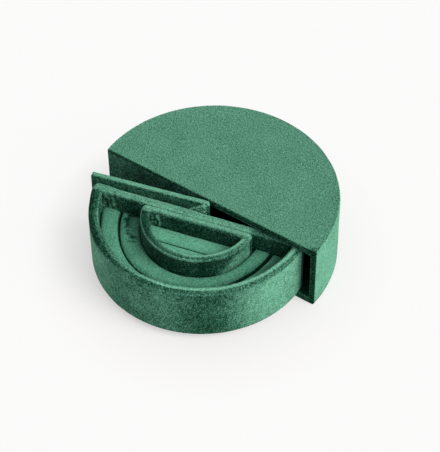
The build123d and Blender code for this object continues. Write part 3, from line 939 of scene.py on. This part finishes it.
def inner_inside(place, facing, depth):
    """Painted shade on the inside, with painted highlights on the creases in the left corner."""
    return 0.12 + 0.08 * spots(place, 4.0, 13) + 0.85 * crease_highlights(place, inner_corner, 10.0, 14)


def make_inner_box():
    """Velvet over the walls of the smaller box."""
    chord = BACK_FACE + INNER_Y + 0.1
    outer = swung(d_outline(INNER_RADIUS, chord, INNER_CORNER, *SECTION), INNER_CENTRE)
    inner = swung(d_outline(INNER_RADIUS - INNER_WALL, chord + INNER_BACK - 0.1, 1.0, *SECTION), INNER_CENTRE)
    nap_and_shading = box_shading(
        INNER_CENTRE,
        INNER_RADIUS,
        -INNER_FACE - 0.5,
        -BACK_FACE,
        INNER_RIM,
        inner_crest,
        inner_back_crest,
        inner_outside,
        inner_inside,
    )
    foot = ROLL_TOP - 11
    floor = PAD_TOP - 5
    cover = ring_cover("inner_box_cover", outer, inner, foot, floor, INNER_RIM, 2.7, 7, inner_bumps, nap_and_shading)
    dressed(cover, "drawer", ["inner_wall_velvet", "inner_back_velvet"])


make_inner_box()

# ---- drawer: the ring pads -------------------------------------------
OUTLINE_SPACING = 0.8
SOFTENING_ROUNDS = 8


def pad_shading(place, normal):
    """Slight clouds, and painted shade on the sides down in the slits."""
    return 0.06 * spots(place, 12.0, 15) - 0.75 * fall(normal.z, 0.75, 0.5)


def pillow(name, outline, seed):
    """A foam pad under velvet: drawn-in foot, rounded shoulder and a crowned top."""
    centre = (sum(p[0] for p in outline) / len(outline), sum(p[1] for p in outline) / len(outline))
    shoulder = PAD_TOP - PAD_CROWN - PAD_ROUND
    rows = [lifted(inset(outline, 0.9), PAD_BOTTOM), lifted(inset(outline, 0.3), PAD_BOTTOM + 0.8)]
    rows += [lifted(outline, z) for z in steps(PAD_BOTTOM + 2.2, shoulder, 6)]
    rows += rounded_rows(lambda depth: inset(outline, depth), shoulder, PAD_ROUND, steps(0, 84, 8)[1:])
    edge = inset(outline, PAD_ROUND)
    base = shoulder + PAD_ROUND
    for share in steps(0.04, 0.96, 18):
        rows.append(lifted(toward(edge, centre, share), base + PAD_CROWN * math.sin(share * math.pi / 2)))
    pad = loft(name, rows, velvet_pad, 0.92, cap_start=True, cap_end=True)
    ruffle(pad, 0.12, 9.0, seed, None, pad_shading, facing_shade=0.25)
    return pad


def softened(points):
    """A closed outline with evenly spaced points and its corners rubbed round."""
    closed = points + [points[0]]
    lengths = [math.dist(a, b) for a, b in zip(closed, closed[1:])]
    count = int(sum(lengths) / OUTLINE_SPACING)
    result = []
    for k in range(count):
        left = sum(lengths) * k / count
        i = 0
        while i < len(lengths) - 1 and left > lengths[i]:
            left -= lengths[i]
            i += 1
        share = left / lengths[i] if lengths[i] else 0.0
        (ax, ay), (bx, by) = closed[i], closed[i + 1]
        result.append((ax + (bx - ax) * share, ay + (by - ay) * share))
    for _ in range(SOFTENING_ROUNDS):
        around = [(result[i - 1], result[i], result[(i + 1) % count]) for i in range(count)]
        result = [((ax + 2 * x + bx) / 4, (ay + 2 * y + by) / 4) for (ax, ay), (x, y), (bx, by) in around]
    return result


def segment_outline(radius, high, low=None):
    """Outline of a circle's slice ahead of a level, or between two, clockwise from above."""
    top_x = math.sqrt(radius**2 - high**2)
    points = straight((0, -high), (top_x, -high), 40)
    start = math.atan2(-high, top_x)
    if low is None:
        points += arc((0, 0), radius, start, -math.pi - start, 110)
    else:
        low_x = math.sqrt(radius**2 - low**2)
        end = math.atan2(-low, low_x)
        points += arc((0, 0), radius, start, end, 26)
        points += straight((low_x, -low), (-low_x, -low), 60)
        points += arc((0, 0), radius, -math.pi - end, -math.pi - start, 26)
    points += straight((-top_x, -high), (0, -high), 40)
    return softened(points)


def make_pads():
    """The two pads in the inner box, with the slit for rings between them."""
    radius = INNER_RADIUS - INNER_WALL - SOFT_GAP
    face = INNER_FACE + INNER_Y
    split = face + PAD_SPLIT
    rear = swung(segment_outline(radius, face + SOFT_GAP, split - SOFT_GAP / 2), INNER_CENTRE)
    front = swung(segment_outline(radius, split + SOFT_GAP / 2), INNER_CENTRE)
    for pad_node, plan, seed in (("inner_pad_rear", rear, 8), ("inner_pad_front", front, 9)):
        dressed(pillow(pad_node + "_cover", plan, seed), "drawer", [pad_node])


make_pads()

# ---- drawer: the ring rolls ------------------------------------------
ROLL_POINTS = 240
ROLL_END_LIFT = 2.3
# darker patches near the left ends of the rolls: middle and half sizes, in the drawer's frame
DARK_PATCHES = (
    (-53.0, -12.2, 5.6, 2.2),
    (-54.4, -17.0, 2.2, 4.0),
    (-52.2, -22.0, 2.2, 4.0),
    (-49.4, -27.0, 2.2, 3.4),
    (-45.6, -31.5, 3.4, 1.6),
    (-44.8, -34.8, 2.4, 1.2),
)


def roll_shading(place, normal):
    """As on the pads: slight clouds and painted shade down the sides; darker patches near the left ends."""
    value = -0.11 + 0.08 * spots(place, 12.0, 16) - 0.75 * fall(normal.z, 0.70, 0.5)
    x, y = swing_place(place)
    ragged = 1 + 0.7 * spots(place, 1.8, 17)
    away = min(math.hypot((x - px) / wide, (y - py) / tall) for px, py, wide, tall in DARK_PATCHES)
    return value - 0.62 * smooth_step(1.4 - away * ragged)


def slot_opening(angle):
    """How far the slot between the rolls gapes: most at its two ends."""
    return 0.7 * fall(angle, -145, 30) + 1.4 * rise(angle, -75, 40)


def slot_middle(angle):
    """The slot wanders a little where the soft rolls press on each other."""
    return SLOT_RADIUS + 0.8 + 1.2 * ridge(angle, -122, 45) - 1.7 * rise(angle, -70, 35)


def slot_outside(angle):
    """Radius of the slot's outer side, which is the outer roll's inner side."""
    return slot_middle(angle) + SOFT_GAP / 2 + 0.4 * slot_opening(angle)


def slot_inside(angle):
    """Radius of the slot's inner side, which is the middle roll's outer side."""
    return slot_middle(angle) - SOFT_GAP / 2 - 0.6 * slot_opening(angle)


def roll_edge(centre, radius_at):
    """One side of a roll, from the back wall at the left round to the back wall at the right.

    The radius is a function of the angle about the centre, in degrees.
    """
    cx, cy = centre
    level = -BACK_FACE - SOFT_GAP
    start_x = math.sqrt(radius_at(-175) ** 2 - (level - cy) ** 2)
    end_x = math.sqrt(radius_at(-5) ** 2 - (level - cy) ** 2)
    start = math.atan2(level - cy, -start_x)
    end = math.atan2(level - cy, end_x)
    if start > 0:
        start -= 2 * math.pi
    curve = []
    for a in steps(start, end, ROLL_POINTS):
        radius = radius_at(math.degrees(a))
        curve.append((cx + radius * math.cos(a), min(level, cy + radius * math.sin(a))))
    return curve


def roll_profile():
    """Shares of a roll's width and heights: up its outer side, over its top and down its inner side."""
    shoulder = ROLL_TOP - ROLL_ROUND
    profile = [(0.03, TRAY_FLOOR + 2), (0.0, TRAY_FLOOR + 9), (0.0, shoulder - 1.5)]
    for angle in steps(0, 180, 20):
        share, height = arch(angle, 0.55, 0.62)
        profile.append((share, shoulder + ROLL_ROUND * height))
    return profile + [(1.0, shoulder - 1.5), (1.0, TRAY_FLOOR + 9), (0.97, TRAY_FLOOR + 2)]


def ring_roll(name, outer, inner, seed, sink=0.0):
    """A crescent of foam under velvet between two curves, higher at its ends.

    Sink is how far its outer side goes down towards the right end, in millimetres.
    """
    rows = []
    for i, ((ox, oy), (ix, iy)) in enumerate(zip(outer, inner)):
        from_end = min(i, ROLL_POINTS - 1 - i)
        lift = ROLL_END_LIFT * ridge(from_end, 0, 75) - 0.7 * (1 - rise(from_end, 0, 5))
        row = []
        for share, z in roll_profile():
            sunk = sink * rise(i, 130, 70) * (1 - share) ** 1.5
            height = z + (lift - sunk) * rise(z, ROLL_TOP - 8, 8)
            row.append((ox + (ix - ox) * share, oy + (iy - oy) * share, height))
        rows.append(swung_row(row))
    roll = loft(name, rows, velvet_pad, 0.82, cap_start=True, cap_end=True)
    ruffle(roll, 0.16, 10.0, seed, None, roll_shading, facing_shade=0.15)
    return roll


def make_rolls():
    """The two ring rolls between the tray's wall and the inner box."""
    tray_side = roll_edge(TRAY_CENTRE, lambda angle: TRAY_RADIUS - TRAY_WALL - SOFT_GAP)
    inner_side = roll_edge(INNER_CENTRE, lambda angle: INNER_RADIUS + SOFT_GAP)
    outer = ring_roll("outer_ring_roll_cover", tray_side, roll_edge(SLOT_CENTRE, slot_outside), 10, 5.0)
    dressed(outer, "drawer", ["outer_ring_roll"])
    middle = ring_roll("middle_ring_roll_cover", roll_edge(SLOT_CENTRE, slot_inside), inner_side, 11)
    dressed(middle, "drawer", ["middle_ring_roll"])


make_rolls()


# ---- camera ----------------------------------------------------------
def make_camera():
    """The photograph's viewpoint: azimuth, elevation and roll about a point of the object."""
    azimuth = math.radians(34.831)
    elevation = math.radians(48.627)
    roll = math.radians(-0.7176)
    target = Vector((-7.82, 18.43, 0.0)) * MM
    distance = 1323.4 * MM
    level = math.cos(elevation)
    back = Vector((math.sin(azimuth) * level, -math.cos(azimuth) * level, math.sin(elevation)))
    right = (-back).cross(Vector((0, 0, 1))).normalized()
    up = right.cross(-back)
    turned_right = right * math.cos(roll) + up * math.sin(roll)
    turned_up = up * math.cos(roll) - right * math.sin(roll)
    data = bpy.data.cameras.new("camera")
    data.sensor_width = 36.0
    data.lens = 141.28
    camera = bpy.data.objects.new("camera", data)
    axes = Matrix((turned_right, turned_up, back)).transposed()
    camera.matrix_world = Matrix.Translation(target + back * distance) @ axes.to_4x4()
    bpy.context.scene.collection.objects.link(camera)
    bpy.context.scene.camera = camera


make_camera()


# ---- floor and light -------------------------------------------------
def make_floor():
    """A wide pale floor, seen nearly white, that keeps the object's soft shadow.

    The camera sees a share of it as even light, and a larger share further from the object.
    """
    material, tree, coords, surface = new_material("pale_floor")
    grain = noise_node(tree, coords, 3.0)
    colour = tree.nodes.new("ShaderNodeCombineColor")
    for channel, tone in (("Red", 0.93), ("Green", 0.895), ("Blue", 0.885)):
        tree.links.new(ramp(tree, grain, 0.3, 0.7, tone - 0.005, tone + 0.005), colour.inputs[channel])
    shader = tree.nodes.new("ShaderNodeBsdfDiffuse")
    tree.links.new(colour.outputs["Color"], shader.inputs["Color"])
    glow = tree.nodes.new("ShaderNodeEmission")
    glow.inputs["Color"].default_value = (0.972, 0.966, 0.965, 1)
    away = tree.nodes.new("ShaderNodeVectorMath")
    away.operation = "DISTANCE"
    away.inputs[1].default_value = (0.0, -0.005, 0.0)
    tree.links.new(coords, away.inputs[0])
    seen = tree.nodes.new("ShaderNodeLightPath").outputs["Is Camera Ray"]
    share = math_node(tree, "MULTIPLY", seen, ramp(tree, away.outputs["Value"], 0.085, 0.135, 0.55, 0.95))
    mixed = tree.nodes.new("ShaderNodeMixShader")
    tree.links.new(share, mixed.inputs["Fac"])
    tree.links.new(shader.outputs["BSDF"], mixed.inputs[1])
    tree.links.new(glow.outputs["Emission"], mixed.inputs[2])
    tree.links.new(mixed.outputs["Shader"], surface)
    half = 4000.0
    corners = [Vector((x * half, y * half, 0)) for x, y in ((-1, -1), (1, -1), (1, 1), (-1, 1))]
    floor = mesh_object("floor", corners, [(0, 1, 2, 3)], material)


make_floor()


def make_light():
    """A bright even room with one broad soft light."""
    world = bpy.data.worlds.new("studio")
    world.use_nodes = True
    background = world.node_tree.nodes["Background"]
    background.inputs["Color"].default_value = (1.0, 1.0, 1.0, 1)
    background.inputs["Strength"].default_value = 0.42
    bpy.context.scene.world = world
    data = bpy.data.lights.new("key", "SUN")
    data.energy = 2.5
    data.angle = math.radians(40)
    data.color = (1.0, 0.985, 0.97)
    lamp = bpy.data.objects.new("key", data)
    source = Vector((0.80, 0.06, 0.72))
    lamp.rotation_mode = "QUATERNION"
    lamp.rotation_quaternion = source.to_track_quat("Z", "Y")
    bpy.context.scene.collection.objects.link(lamp)


make_light()

bpy.context.scene.view_settings.view_transform = "Standard"
